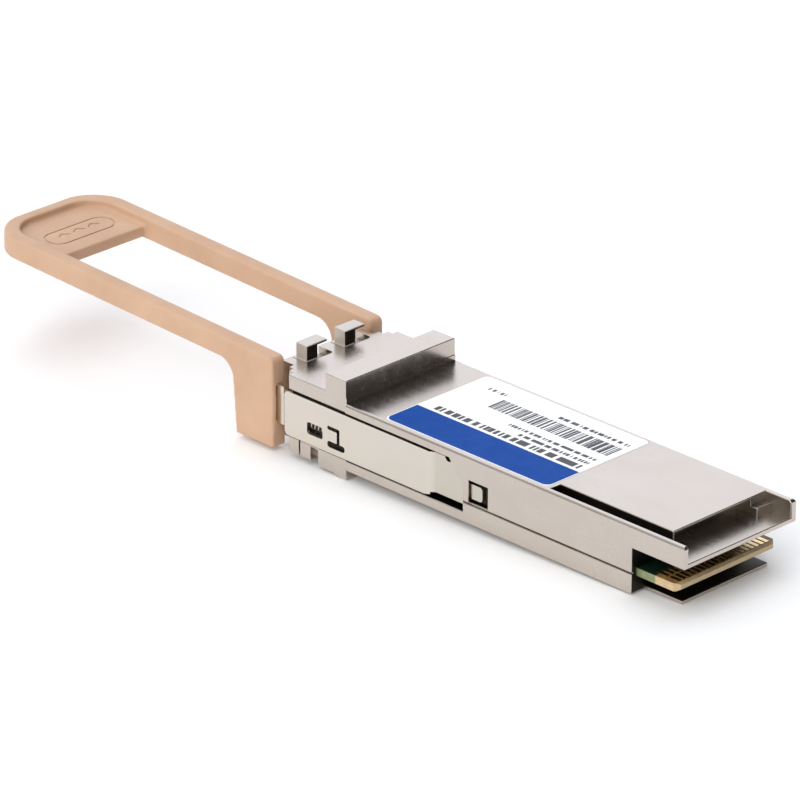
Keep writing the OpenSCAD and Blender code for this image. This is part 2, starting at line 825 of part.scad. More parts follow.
// The part of the arm behind the rear bend, which pushes the cage's latch open
module arm_rear() {
    diagonal_y = step_y - 2.6;
    side_extrude(arm_inner - jog, arm_outer - jog) difference() {
        union() {
            polygon([[arm_bend + bend_run, arm_rear_low], [step_y - 0.3, arm_rear_low],
                [step_y - 0.3, tongue_high - 0.35],
                [diagonal_y, arm_high], [arm_bend + bend_run, arm_high]]);
            round_rect(step_y - 2, arm_end, tongue_low, tongue_high, 0.4);
        }
        translate([arm_notch_y, arm_high]) circle(arm_notch_r);
    }
}

// A sloped strip that joins two parts of the arm at different X, drawn in (X, Y)
module arm_slope(x0, y0, x1, y1, z0, z1) {
    translate([0, 0, z0]) linear_extrude(z1 - z0)
        polygon([[x0, y0], [x0 + arm_t, y0], [x1 + arm_t, y1], [x1, y1]]);
}

module latch_arm() {
    color([0.78, 0.75, 0.71]) {
        arm_plate();
        arm_rear();
        arm_slope(arm_inner, arm_bend, arm_inner - jog, arm_bend + bend_run, arm_rear_low, arm_high);
        arm_slope(arm_inner, -arm_front + 0.01, strip_in_x, -arm_front - 1, strip_low, strip_high);
        box(strip_in_x, strip_in_x + arm_t, -strip_front, -arm_front - 1 + 0.01, strip_low, strip_high);
        // lug that the spring pushes on
        box(lug_x, arm_inner + 0.01, lug_y, lug_y + arm_t, lug_low, 4.35);
    }
}

module latch_arm_right() {
    latch_arm();
}

module latch_arm_left() {
    mirror([1, 0, 0]) latch_arm();
}

// Ring of points around the wire's centre line at step i
function wire_ring(i, r, y0, pitch) =
    let (a = 360 * i / turn_steps, y = y0 + pitch * i / turn_steps)
    [for (k = [0 : wire_sides - 1])
        let (b = 360 * k / wire_sides, rr = r + wire_d / 2 * cos(b))
        [rr * cos(a), y + wire_d / 2 * sin(b), rr * sin(a)]];

module return_spring() {
    r = (coil_d - wire_d) / 2;
    y0 = pocket_front + spring_clear + wire_d / 2;
    y1 = lug_y - spring_clear - wire_d / 2;
    rings = coil_turns * turn_steps;
    points = [for (i = [0 : rings]) each wire_ring(i, r, y0, (y1 - y0) / coil_turns)];
    walls = [for (i = [0 : rings - 1], k = [0 : wire_sides - 1])
        let (a = i * wire_sides, n = (k + 1) % wire_sides)
        [a + k, a + wire_sides + k, a + wire_sides + n, a + n]];
    first = [for (k = [0 : wire_sides - 1]) k];
    last = [for (k = [wire_sides - 1 : -1 : 0]) rings * wire_sides + k];
    color([0.6, 0.6, 0.62]) translate([spring_x, 0, spring_z])
        polyhedron(points, concat(walls, [first], [last]), convexity = 10);
}

module return_spring_right() {
    return_spring();
}

module return_spring_left() {
    mirror([1, 0, 0]) return_spring();
}

// The loop's own frame lies in its tilted plane: y = 0 is the top edge of the legs'
// rear faces, and z = 0 is the underside of the bars
module in_loop_frame() {
    translate([0, -leg_y, tab_top]) rotate([-tab_tilt, 0, 0]) translate([0, 0, -bar_h]) children();
}

// The place of a point (Y, Z) in the loop's frame
function to_loop(y, z) =
    let (dy = y + leg_y, dz = z - tab_top)
    [dy * cos(tab_tilt) - dz * sin(tab_tilt), dy * sin(tab_tilt) + dz * cos(tab_tilt) + bar_h];

// An oval with its long axis along X
module oval(half_len, half_wid) {
    square([2 * (half_len - half_wid), 2 * half_wid], center = true);
    for (side = [-1, 1]) translate([side * (half_len - half_wid), 0]) circle(half_wid);
}

// Engraving on the web: an oval ring round three plain arrowheads that point forward
module web_mark() {
    difference() {
        oval(mark_half_len, mark_half_wid);
        oval(mark_half_len - mark_line, mark_half_wid - mark_line);
    }
    for (x = [-2.4, 0, 2.4])
        translate([x, -mark_half_wid * 0.45]) polygon([[-0.9, 0.6], [0, 0], [0.9, 0.6], [0.9, 1],
            [0, 0.4], [-0.9, 1]]);
}

module tab_loop() {
    len = tab_reach - leg_y;
    web_y = -len + web_len;
    difference() {
        linear_extrude(bar_h) difference() {
            union() {
                round_rect(-half_w, half_w, -len, -len + 2 * tab_corner_r + 2, tab_corner_r);
                translate([-half_w, -len + tab_corner_r]) square([body_w, len - tab_corner_r - 1]);
            }
            translate([-bar_in_x, web_y]) square([2 * bar_in_x, len]);
        }
        // the web lies lower than the rim
        translate([0, 0, bar_h - web_drop]) linear_extrude(bar_h)
            round_rect(-bar_in_x, bar_in_x, -len + rim_w, web_y + 2 * tab_corner_r,
                tab_corner_r - rim_w);
        span_box(bar_in_x, -len + tab_corner_r, web_y + cut, -cut, bar_h - web_drop - web_t);
        translate([0, web_y - web_len * 0.38, bar_h - web_drop - mark_depth])
            linear_extrude(web_drop) web_mark();
    }
}

// A leg's side view in the loop's frame, from its foot up into the bar
module leg_outline() {
    fillet_y = -leg_len - leg_fillet;
    polygon(concat(
        [to_loop(-leg_y, -leg_drop), [0, bar_h], [fillet_y, bar_h]],
        arc(fillet_y, -leg_fillet, leg_fillet, 90, 0, 8),
        [to_loop(-leg_y - leg_len + leg_lean, -leg_drop)]));
}

module pull_tab() {
    color([0.86, 0.71, 0.58]) difference() {
        in_loop_frame() {
            tab_loop();
            both_sides() side_extrude(bar_in_x, half_w) leg_outline();
        }
        // slots that hold the latch arms' front strips
        both_sides()
            box(strip_in_x, strip_in_x + arm_t, -strip_front, -leg_y + cut, strip_low, strip_high);
    }
}

module label() {
    color([0.95, 0.95, 0.94]) translate([0, 0, body_h - label_t + 0.02]) linear_extrude(label_t)
        round_rect(-label_w / 2, label_w / 2, label_y, label_y + label_len, label_r);
}

upper_housing();
lower_housing();
pull_tab();
latch_arm_right();
latch_arm_left();
return_spring_right();
return_spring_left();
lc_receptacle();
ferrule_sleeve_right();
ferrule_sleeve_left();
optics_right();
optics_left();
optics_clamp();
optics_pads();
flex_right();
flex_left();
main_board();
contacts_top();
contacts_bottom();
retimer_chip();
retimer_pad();
laser_driver();
receiver_amp();
microcontroller();
power_inductors();
oscillator();
chip_capacitors();
housing_screws();
label();
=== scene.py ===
import bpy
import bmesh
import math
from mathutils import Matrix, Vector


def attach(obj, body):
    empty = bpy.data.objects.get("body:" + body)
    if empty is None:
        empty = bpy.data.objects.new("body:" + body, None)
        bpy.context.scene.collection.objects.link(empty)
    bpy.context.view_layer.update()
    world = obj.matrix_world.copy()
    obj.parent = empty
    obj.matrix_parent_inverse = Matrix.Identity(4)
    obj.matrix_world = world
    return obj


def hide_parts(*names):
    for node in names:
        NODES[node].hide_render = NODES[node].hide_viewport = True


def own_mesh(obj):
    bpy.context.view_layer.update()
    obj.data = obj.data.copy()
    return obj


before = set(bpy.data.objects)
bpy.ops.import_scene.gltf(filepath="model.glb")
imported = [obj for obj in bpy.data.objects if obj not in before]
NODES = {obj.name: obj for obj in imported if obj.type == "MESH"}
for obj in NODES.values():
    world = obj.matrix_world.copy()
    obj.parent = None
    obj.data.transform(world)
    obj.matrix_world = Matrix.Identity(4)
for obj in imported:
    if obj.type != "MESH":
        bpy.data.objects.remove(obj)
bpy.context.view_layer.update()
MM = 0.001


# ---------------------------------------------------------------- materials

def linear(r, g, b):
    """An sRGB colour given as 0 to 255, as the linear RGBA that shaders take."""
    def one(v):
        v /= 255
        return v / 12.92 if v <= 0.04045 else ((v + 0.055) / 1.055) ** 2.4
    return (one(r), one(g), one(b), 1)


class Mat:
    """A node material around one Principled shader, with a short call for each kind of node."""

    def __init__(self, name, **sockets):
        self.mat = bpy.data.materials.new(name)
        self.mat.use_nodes = True
        self.tree = self.mat.node_tree
        self.tree.nodes.clear()
        self.bsdf = self.node("BsdfPrincipled")
        self.link(self.bsdf.outputs[0], self.node("OutputMaterial").inputs[0])
        self.place = self.node("TexCoord").outputs["Object"]
        for key, value in sockets.items():
            self.bsdf.inputs[key.replace("_", " ")].default_value = value

    def link(self, a, b):
        self.tree.links.new(a, b)

    def node(self, kind, **props):
        n = self.tree.nodes.new("ShaderNode" + kind)
        for key, value in props.items():
            setattr(n, key, value)
        return n

    def noise(self, scale, detail=3, rough=0.55, stretch=(1, 1, 1)):
        """Noise in the object's own frame, with features about 1/scale metres across."""
        place = self.node("Mapping")
        place.inputs["Scale"].default_value = stretch
        self.link(self.place, place.inputs["Vector"])
        n = self.node("TexNoise")
        n.inputs["Scale"].default_value = scale
        n.inputs["Detail"].default_value = detail
        n.inputs["Roughness"].default_value = rough
        self.link(place.outputs[0], n.inputs["Vector"])
        return n.outputs["Fac"]

    def blend(self, low, high, fac, margin=0.3):
        """Goes from the colour low to the colour high as fac goes from margin to 1 - margin."""
        n = self.node("ValToRGB")
        for stop, position, colour in zip(n.color_ramp.elements, (margin, 1 - margin), (low, high)):
            stop.position = position
            stop.color = colour
        self.link(fac, n.inputs[0])
        return n.outputs[0]

    def math(self, op, a, b):
        n = self.node("Math", operation=op)
        for i, v in enumerate((a, b)):
            if isinstance(v, (int, float)):
                n.inputs[i].default_value = v
            else:
                self.link(v, n.inputs[i])
        return n.outputs[0]

    def span(self, value, low, high, new_low, new_high):
        """The value's range from low to high, stretched to new_low to new_high."""
        n = self.node("MapRange")
        for key, v in (("From Min", low), ("From Max", high), ("To Min", new_low),
                       ("To Max", new_high)):
            n.inputs[key].default_value = v
        self.link(value, n.inputs["Value"])
        return n.outputs[0]

    def mix(self, fac, a, b, blend="MIX"):
        n = self.node("Mix", data_type="RGBA", blend_type=blend)
        for i, v in ((0, fac), (6, a), (7, b)):
            if isinstance(v, (int, float, tuple)):
                n.inputs[i].default_value = v
            else:
                self.link(v, n.inputs[i])
        return n.outputs[2]

    def xyz(self):
        n = self.node("SeparateXYZ")
        self.link(self.place, n.inputs[0])
        return n.outputs

    def bump(self, height, distance, strength=1.0):
        """A surface relief, on top of the ones added before it."""
        n = self.node("Bump")
        n.inputs["Distance"].default_value = distance
        n.inputs["Strength"].default_value = strength
        self.link(height, n.inputs["Height"])
        if self.bsdf.inputs["Normal"].links:
            self.link(self.bsdf.inputs["Normal"].links[0].from_socket, n.inputs["Normal"])
        self.link(n.outputs[0], self.bsdf.inputs["Normal"])

    def color(self, socket):
        self.link(socket, self.bsdf.inputs["Base Color"])

    def rough(self, low, high, fac, margin=0.3):
        """Roughness from low to high as fac goes from margin to 1 - margin."""
        self.link(self.span(fac, margin, 1 - margin, low, high), self.bsdf.inputs["Roughness"])


# The tint of plating where it is duller, and half the length over which it fades in
DULL_TINT = (0.88, 0.88, 0.8624, 1)
DULL_FADE = 0.3 * MM


def plated_metal(name, light, dark, rough, grain, dull_from=None, metallic=1.0):
    """Satin nickel: faint clouds, fine pores of depth grain and polishing lines along Y. Behind
    dull_from, a place along Y, the plating is duller."""
    m = Mat(name, Metallic=metallic)
    clouds = m.noise(220, 4, 0.6, (1, 0.55, 1))
    shade = m.blend(dark, light, clouds)
    if dull_from:
        behind = m.span(m.xyz()[1], dull_from - DULL_FADE, dull_from + DULL_FADE, 0, 1)
        shade = m.mix(behind, shade, m.mix(1.0, shade, DULL_TINT, "MULTIPLY"))
    m.color(shade)
    lines = m.noise(900, 2, 0.6, (1, 0.06, 1))
    both = m.math("ADD", m.math("MULTIPLY", lines, 0.5), m.math("MULTIPLY", clouds, 0.5))
    m.rough(rough - 0.03, rough + 0.04, both, 0.35)
    m.bump(m.noise(300, 2, 0.5), 0.000004, 0.5)
    m.bump(m.noise(3200, 2, 0.5), grain)
    return m.mat


def moulded_rubber():
    """Soft beige TPE: a faint mottle, a matt skin and a fine moulded grain."""
    m = Mat("tab_rubber", Subsurface_Weight=0.12, Subsurface_Scale=0.0012,
            Subsurface_Radius=(1.0, 0.55, 0.35), Specular_IOR_Level=0.35)
    m.color(m.blend(linear(197, 160, 131), linear(206, 170, 141), m.noise(160, 3, 0.6)))
    m.rough(0.5, 0.62, m.noise(700, 2))
    m.bump(m.noise(3500, 2, 0.6), 0.000012, 0.6)
    return m.mat


def blue_film():
    """Printed polyester film: a near-even colour with a faint gloss variation."""
    m = Mat("label_blue", Specular_IOR_Level=0.03)
    m.color(m.blend(linear(22, 71, 152), linear(27, 77, 160), m.noise(400)))
    m.rough(0.42, 0.5, m.noise(900, 2))
    m.bump(m.noise(1500, 2), 0.000002)
    return m.mat


# Rows on the label in mm: x from, x to, y from, y to, dash pitch, inked share
DASH_ROWS = ((1.6, 2.7, 8, 31.2, 0.62, 0.56), (0.45, 1.05, 20, 31.2, 0.42, 0.54),
             (-0.75, -0.2, 17, 31.2, 0.42, 0.54), (-4.9, -2.2, 11.8, 31.2, 0.3, 0.52),
             (-6.3, -5.7, 20, 31.2, 0.5, 0.54), (-6.3, -5.7, 8.6, 12, 0.42, 0.5))


def printed_film():
    """White film with rows of plain uneven dashes, which stand for no letters."""
    m = Mat("label_film", Specular_IOR_Level=0.4)
    x, y, _ = m.xyz()

    def between(value, low, high):
        above = m.math("GREATER_THAN", value, low * MM)
        return m.math("MULTIPLY", above, m.math("LESS_THAN", value, high * MM))

    def dashes(x0, x1, y0, y1, pitch, share):
        """A row of dashes, where a line of noise is above a threshold. The noise starts at
        another place in each row."""
        line = m.node("TexNoise", noise_dimensions="1D")
        line.inputs["Scale"].default_value = 1
        line.inputs["Detail"].default_value = 1
        m.link(m.math("ADD", m.math("DIVIDE", y, pitch * MM), 7 * x0), line.inputs["W"])
        on = m.math("GREATER_THAN", line.outputs["Fac"], 1 - share)
        area = m.math("MULTIPLY", between(x, x0, x1), between(y, y0, y1))
        return m.math("MULTIPLY", on, area)

    ink = 0.0
    for row in DASH_ROWS:
        ink = m.math("MAXIMUM", ink, dashes(*row))
    paper = m.blend(linear(244, 244, 244), linear(247, 247, 247), m.noise(400))
    m.color(m.mix(ink, paper, linear(50, 51, 56)))
    m.rough(0.36, 0.44, m.noise(900, 2))
    m.bump(m.noise(1500, 2), 0.000002)
    return m.mat


def gold_plate():
    """The contacts' thin hard gold."""
    m = Mat("gold_plate", Metallic=1.0)
    m.color(m.blend(linear(226, 196, 146), linear(246, 222, 176), m.noise(900)))
    m.rough(0.22, 0.34, m.noise(1800, 2))
    m.bump(m.noise(3000, 2), 0.000003)
    return m.mat


def plain(name, low, high, rough, scale=500, metallic=0.0, bump=0.000005):
    """A finish with a mottled colour, uneven roughness and a fine surface."""
    m = Mat(name, Metallic=metallic)
    m.color(m.blend(low, high, m.noise(scale, 3, 0.6)))
    m.rough(rough - 0.06, rough + 0.06, m.noise(scale * 2.3, 2))
    m.bump(m.noise(scale * 5, 2), bump)
    return m.mat


# The height just under the board's upper face, and where its solder mask ends
BOARD_TOP = 2.965 * MM
MASK_END = 48.8 * MM


def circuit_board():
    """Green solder mask that stops short of the plug-in edge, where the laminate is bare; the cut
    sides are paler than the top."""
    m = Mat("board_laminate", Specular_IOR_Level=0.4)
    _, y, z = m.xyz()
    side = m.math("LESS_THAN", z, BOARD_TOP)
    no_mask = m.math("GREATER_THAN", y, MASK_END)
    mask = m.blend(linear(16, 40, 26), linear(24, 52, 36), m.noise(700), 0.35)
    mask_side = m.blend(linear(120, 128, 92), linear(146, 152, 112), m.noise(900))
    top = m.blend(linear(152, 112, 60), linear(176, 136, 80), m.noise(900))
    cut_side = m.blend(linear(190, 164, 122), linear(216, 192, 152),
                       m.noise(1200, 3, 0.6, (1, 1, 6)))
    m.color(m.mix(no_mask, m.mix(side, mask, mask_side), m.mix(side, top, cut_side)))
    m.rough(0.40, 0.52, m.noise(1100, 2))
    m.bump(m.noise(1600), 0.000006)
    return m.mat


METAL = plated_metal("nickel_plate", linear(202, 193, 183), linear(197, 187, 177), 0.25,
                     0.000004)
# The arms' plating is duller behind their wide strip
ARM = plated_metal("arm_steel", linear(215, 208, 197), linear(211, 204, 193), 0.18, 0.000001,
                   14.3 * MM)
# Darker copies of the plating: painted shade for the groove, the undercut and the hollows inside
# the body and the arches, where the real plating only lies in shadow
GREY_SHADE = plated_metal("painted_grey_shade", linear(164, 157, 148), linear(148, 141, 133), 0.34, 0.00001)
DEEP_SHADE = plated_metal("painted_deep_shade", linear(62, 59, 56), linear(50, 48, 45), 0.42, 0.00001)
ZINC = plated_metal("receptacle_zinc", linear(206, 200, 191), linear(198, 192, 183), 0.42,
                    0.000003, metallic=0.55)
RUBBER = moulded_rubber()
LABEL = printed_film()
BAND = blue_film()
GOLD = gold_plate()
BOARD = circuit_board()
WIRE = plain("spring_wire", linear(170, 168, 164), linear(205, 202, 198), 0.24, 1200, 1.0,
             0.000001)
SCREW = plain("screw_steel", linear(60, 60, 62), linear(86, 86, 88), 0.34, 900, 1.0)
ZIRCONIA = plain("zirconia", linear(236, 234, 226), linear(248, 246, 240), 0.18, 500)
GOLD_CASE = plain("gold_case", linear(200, 160, 92), linear(226, 188, 120), 0.3, 500, 1.0)
PAD = plain("heat_pad", linear(150, 158, 168), linear(174, 182, 190), 0.75, 700, 0.0, 0.00003)
FLEX = plain("polyimide", linear(176, 104, 36), linear(198, 126, 52), 0.3, 600)
CHIP = plain("chip_epoxy", linear(26, 26, 28), linear(40, 40, 42), 0.48, 1500, 0.0, 0.00001)
INDUCTOR = plain("inductor_grey", linear(70, 70, 72), linear(96, 96, 98), 0.5, 1400, 0.0, 0.00001)
CAN = plain("can_metal", linear(200, 196, 186), linear(220, 216, 206), 0.25, 700, 1.0)
CAPACITOR = plain("capacitor_tan", linear(150, 118, 84), linear(186, 152, 114), 0.45, 1500)

FINISH = {
    "lc_receptacle": ZINC, "optics_clamp": METAL,
    "latch_arm_right": ARM, "latch_arm_left": ARM, "label": LABEL,
    "return_spring_right": WIRE, "return_spring_left": WIRE,
    "ferrule_sleeve_right": ZIRCONIA, "ferrule_sleeve_left": ZIRCONIA,
    "optics_right": GOLD_CASE, "optics_left": GOLD_CASE,
    "optics_pads": PAD, "retimer_pad": PAD, "flex_right": FLEX, "flex_left": FLEX,
    "main_board": BOARD, "contacts_top": GOLD, "contacts_bottom": GOLD,
    "retimer_chip": CHIP, "laser_driver": CHIP, "receiver_amp": CHIP, "microcontroller": CHIP,
    "power_inductors": INDUCTOR, "oscillator": CAN, "chip_capacitors": CAPACITOR,
    "housing_screws": SCREW, "upper_housing": METAL, "lower_housing": METAL, "pull_tab": RUBBER,
}


def paint(obj, mat):
    obj.data.materials.clear()
    obj.data.materials.append(mat)


for node_name, node_obj in NODES.items():
    paint(node_obj, FINISH[node_name])


# ---------------------------------------------------------------- pieces

MOVING = ("pull_tab", "latch_arm_right", "latch_arm_left")


def body_of(node):
    return "latch_slide" if node in MOVING else "module"


def new_object(name, bm):
    """A mesh object in the scene, made of a bmesh that is used up."""
    mesh = bpy.data.meshes.new(name)
    bm.to_mesh(mesh)
    bm.free()
    obj = bpy.data.objects.new(name, mesh)
    bpy.context.scene.collection.objects.link(obj)
    return obj


def add_piece(name, bm, mat, node, replace=True):
    """Turns a bmesh into a piece that rides with a CAD node's body and takes its slot."""
    obj = new_object(name, bm)
    paint(obj, mat)
    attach(obj, body_of(node))
    if replace:
        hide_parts(node)
    return obj


def clean_copy(node):
    """A CAD node's shape with its flat faces whole and its slivers closed."""
    bm = bmesh.new()
    bm.from_mesh(NODES[node].data)
    bmesh.ops.remove_doubles(bm, verts=bm.verts, dist=0.002 * MM)
    bmesh.ops.dissolve_limit(bm, angle_limit=math.radians(0.6), verts=bm.verts, edges=bm.edges)
    return bm


def face_angle(edge):
    return edge.calc_face_angle(0) if len(edge.link_faces) == 2 else 0


# An edge is rounded when its faces turn by more than this, and when it and the edges that meet
# it are longer than these shares of the rounding's width
SHARP = math.radians(30)
OWN_ROOM = 2.4
NEIGHBOUR_ROOM = 1.3


def soften_edges(bm, width):
    """Rounds the sharp outer edges that are long enough to take it."""
    def roomy(edge):
        around = {e for v in edge.verts for e in v.link_edges}
        return (edge.calc_length() > OWN_ROOM * width
                and all(e.calc_length() > NEIGHBOUR_ROOM * width for e in around))

    chosen = [e for e in bm.edges if e.is_convex and face_angle(e) > SHARP and roomy(e)]
    bmesh.ops.bevel(bm, geom=chosen, offset=width, offset_type="OFFSET", segments=3,
                    profile=0.5, affect="EDGES", clamp_overlap=False)


def smooth_shading(obj, angle):
    """Smooth faces that keep a crease where they turn by more than angle, in degrees."""
    mesh = obj.data
    for face in mesh.polygons:
        face.use_smooth = True
    sharp = (mesh.attributes.get("sharp_edge")
             or mesh.attributes.new("sharp_edge", "BOOLEAN", "EDGE"))
    bm = bmesh.new()
    bm.from_mesh(mesh)
    flags = [face_angle(e) > math.radians(angle) for e in bm.edges]
    bm.free()
    sharp.data.foreach_set("value", flags)
    obj.modifiers.new("weighted", "WEIGHTED_NORMAL").keep_sharp = True


# The order of the material slots on the housings and the receptacle; the last two hold painted
# shade
PLATED, LIGHT_SHADE_SLOT, DARK = 0, 1, 2


def slot_at(centre, normal):
    """The material slot of a face of the housings or the receptacle: a grey painted shade in the
    groove and below the pad's edge, a near-black painted shade inside the body, the hood and the
    arches, and plated elsewhere. The limits of each place are in mm along the part's own axes."""
    x, y, z = (v / MM for v in centre)
    side = abs(x)
    # A near-black painted shade goes on faces inside the body, the hood and the arm recesses
    hood = side < 9.1 and y > 45.9 and 0.45 < z < 5.75
    core = side < 8.3 and -0.1 < y < 46 and 1 < z < 7.4
    arm_recess = 8.2 < side < 8.74 and -9 < y < 23.4 and 1.2 < z < 7.4 and abs(normal.x) > 0.5
    if hood or core or arm_recess:
        return DARK
    # A grey painted shade goes on faces in the groove, the undercut and at the far block
    groove = 6.85 < x < 8.6 and y > 32 and 6.3 < z < 8.3 and abs(normal.z) < 0.9
    undercut = side < 8.3 and 47 < y < 51 and 6.3 < z < 8.35 and normal.z < 0.5
    far_block = -8.6 < x < -5.8 and y > 49 and 6.4 < z < 8.3
    if groove or undercut or far_block:
        return LIGHT_SHADE_SLOT
    # The arches' inner walls get the near-black painted shade as well
    arch = -12.7 < y < -10.95 and 8.3 < z < 10.9 and (normal.y > 0.5 or normal.x < -0.5)
    return DARK if arch else PLATED


def evaluated(obj):
    """The object's mesh with its modifiers applied, as a bmesh; the object itself goes."""
    shape = obj.evaluated_get(bpy.context.evaluated_depsgraph_get())
    bm = bmesh.new()
    bm.from_mesh(shape.to_mesh())
    shape.to_mesh_clear()
    bpy.data.objects.remove(obj)
    return bm


# Node, width of its rounded edges in mm, and the least angle of a crease in degrees
for node_name, width, crease in (("upper_housing", 0.14, 30), ("lower_housing", 0.12, 30),
                                 ("latch_arm_right", 0.06, 20), ("latch_arm_left", 0.06, 20),
                                 ("lc_receptacle", 0.12, 30)):
    solid = clean_copy(node_name)
    soften_edges(solid, width * MM)
    piece = add_piece(node_name + "_body", solid, FINISH[node_name], node_name)
    smooth_shading(piece, crease)
    if "arm" not in node_name:
        # Darker copies of the plating, as painted shade, go on the faces that slot_at picks
        piece.data.materials.append(GREY_SHADE)
        piece.data.materials.append(DEEP_SHADE)
        for face in piece.data.polygons:
            face.material_index = slot_at(face.center, face.normal)


# The pull tab lies in a frame tilted about its legs' upper rear edge
TAB_TILT = math.radians(2)
TAB_HINGE = Vector((0, -12.4, 10.3)) * MM
TO_LEVEL = (Matrix.Translation(TAB_HINGE) @ Matrix.Rotation(TAB_TILT, 4, "X")
            @ Matrix.Translation(-TAB_HINGE))
TAB_LEN = 51
WEB_LEN = 11.3
WEB_TOP = TAB_HINGE.z - 0.9 * MM

# The mark pressed into the web: where it is, its half sizes, its line and its chevrons, in mm
MARK_Y = TAB_HINGE.y + (-TAB_LEN + WEB_LEN * 0.62) * MM
MARK_LONG = 5.3
MARK_WIDE = 1.85
MARK_LINE = 0.24
MARK_DEPTH = 0.15
CHEVRON_AT = (-2.4, 0, 2.4)
CHEVRON = ((-0.9, 0.6), (0, 0), (0.9, 0.6), (0.9, 1), (0, 0.4), (-0.9, 1))


def prism(bm, outline, z0, z1):
    """A closed prism over an outline given as (x, y) pairs."""
    low = [bm.verts.new((x, y, z0)) for x, y in outline]
    high = [bm.verts.new((x, y, z1)) for x, y in outline]
    bm.faces.new(low[::-1])
    bm.faces.new(high)
    for i in range(len(outline)):
        j = (i + 1) % len(outline)
        bm.faces.new((low[i], low[j], high[j], high[i]))


def oval(half_len, half_wid, centre_y, steps=16):
    """The outline of a slot with round ends that lies along X."""
    run = half_len - half_wid
    points = []
    for side in (1, -1):
        for i in range(steps + 1):
            a = math.pi * (i / steps - 0.5)
            points.append((side * (run + half_wid * math.cos(a)),
                           centre_y + side * half_wid * math.sin(a)))
    return points


def web_mark():
    """The oval line and the three chevrons that are pressed into the web, as a cutter."""
    bm = bmesh.new()
    deep, over = WEB_TOP - MARK_DEPTH * MM, WEB_TOP + 0.5 * MM
    outer = oval(MARK_LONG * MM, MARK_WIDE * MM, MARK_Y)
    inner = oval((MARK_LONG - MARK_LINE) * MM, (MARK_WIDE - MARK_LINE) * MM, MARK_Y)
    rings = [[bm.verts.new((x, y, z)) for x, y in line] for line, z in
             ((outer, deep), (outer, over), (inner, over), (inner, deep))]
    for a, b in zip(rings, rings[1:] + rings[:1]):
        for i in range(len(a)):
            j = (i + 1) % len(a)
            bm.faces.new((a[i], a[j], b[j], b[i]))
    for x in CHEVRON_AT:
        y = -MARK_WIDE * 0.45
        prism(bm, [((x + u) * MM, MARK_Y + (y + v) * MM) for u, v in CHEVRON], deep, over)
    bmesh.ops.recalc_face_normals(bm, faces=bm.faces)
    return bm


def rounded_tab():
    """The CAD tab with all its edges and inner corners rounded, as soft moulded rubber is."""
    def legs_rear_top(edge):
        a, b = (v.co for v in edge.verts)
        return abs(a.x - b.x) > 1.5 * MM and min(a.z, b.z) > 9 * MM and max(a.y, b.y) > -13 * MM

    solid = clean_copy("pull_tab")
    bmesh.ops.bevel(solid, geom=[e for e in solid.edges if legs_rear_top(e)], offset=0.7 * MM,
                    offset_type="OFFSET", segments=5, profile=0.5, affect="EDGES")
    # The voxels lie along the tab's own faces, so that those stay flat
    bmesh.ops.transform(solid, matrix=TO_LEVEL, verts=solid.verts)
    soft = new_object("tab_soft", solid)
    remesh = soft.modifiers.new("remesh", "REMESH")
    remesh.mode = "VOXEL"
    remesh.voxel_size = 0.17 * MM
    smooth = soft.modifiers.new("smooth", "SMOOTH")
    smooth.factor = 0.5
    smooth.iterations = 9
    soft = new_object("tab_soft", evaluated(soft))
    mark = new_object("tab_mark", web_mark())
    press = soft.modifiers.new("press", "BOOLEAN")
    press.operation = "DIFFERENCE"
    press.object = mark
    shape = evaluated(soft)
    bpy.data.objects.remove(mark)
    bmesh.ops.transform(shape, matrix=TO_LEVEL.inverted(), verts=shape.verts)
    return shape


smooth_shading(add_piece("pull_tab_body", rounded_tab(), RUBBER, "pull_tab"), 40)


WIRE_D = 0.24 * MM
TURNS = 11


def coil_spring(node, sides=12, steps=36):
    """A round-wire coil along Y that fills the CAD spring's box, with this many sides round the
    wire and steps to a turn."""
    low, high = (Vector([pick(v.co[i] for v in NODES[node].data.vertices) for i in range(3)])
                 for pick in (min, max))
    centre = (low + high) / 2
    radius = (high.z - low.z - WIRE_D) / 2
    run = high.y - low.y - WIRE_D
    along = Vector((0, 1, 0))
    bm = bmesh.new()
    previous = None
    for i in range(TURNS * steps + 1):
        turn = 2 * math.pi * i / steps
        out = Vector((math.cos(turn), 0, math.sin(turn)))
        y = low.y + WIRE_D / 2 + run * i / (TURNS * steps)
        middle = Vector((centre.x, y, centre.z)) + out * radius
        ring = []
        for k in range(sides):
            a = 2 * math.pi * k / sides
            spoke = out * math.cos(a) + along * math.sin(a)
            ring.append(bm.verts.new(middle + spoke * WIRE_D / 2))
        if previous:
            for k in range(sides):
                n = (k + 1) % sides
                bm.faces.new((previous[k], previous[n], ring[n], ring[k]))
        else:
            bm.faces.new(ring)
        previous = ring
    bm.faces.new(previous[::-1])
    bmesh.ops.recalc_face_normals(bm, faces=bm.faces)
    return bm


# In the module the front end of each spring stays and its rear end goes with the arm's lug; here a
# smoother round-wire coil takes the place of each CAD spring
for node_name in ("return_spring_right", "return_spring_left"):
    spring = add_piece(node_name + "_coil", coil_spring(node_name), WIRE, node_name)
    smooth_shading(spring, 60)
    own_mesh(spring)


def band_sheet(x0, x1, y0, y1, z0, z1, r, steps=8):
    """A flat sheet, in mm, with its two corners at x1 rounded."""
    def corner(centre_y, start):
        angles = (math.radians(start + 90 * i / steps) for i in range(steps + 1))
        return [((x1 - r + r * math.cos(a)) * MM, (centre_y + r * math.sin(a)) * MM)
                for a in angles]

    bm = bmesh.new()
    square = [(x0 * MM, y1 * MM), (x0 * MM, y0 * MM)]
    prism(bm, corner(y1 - r, 0) + square + corner(y0 + r, 270), z0 * MM, z1 * MM)
    return bm


# The blue band is printed along the label's near edge, inside a thin white border
add_piece("label_band", band_sheet(3.2, 8.42, 5.93, 32.07, 8.515, 8.528, 0.9), BAND, "label",
          replace=False)


# ---------------------------------------------------------------- stage

VIEW = Vector((-0.6394, -0.6489, -0.4125))

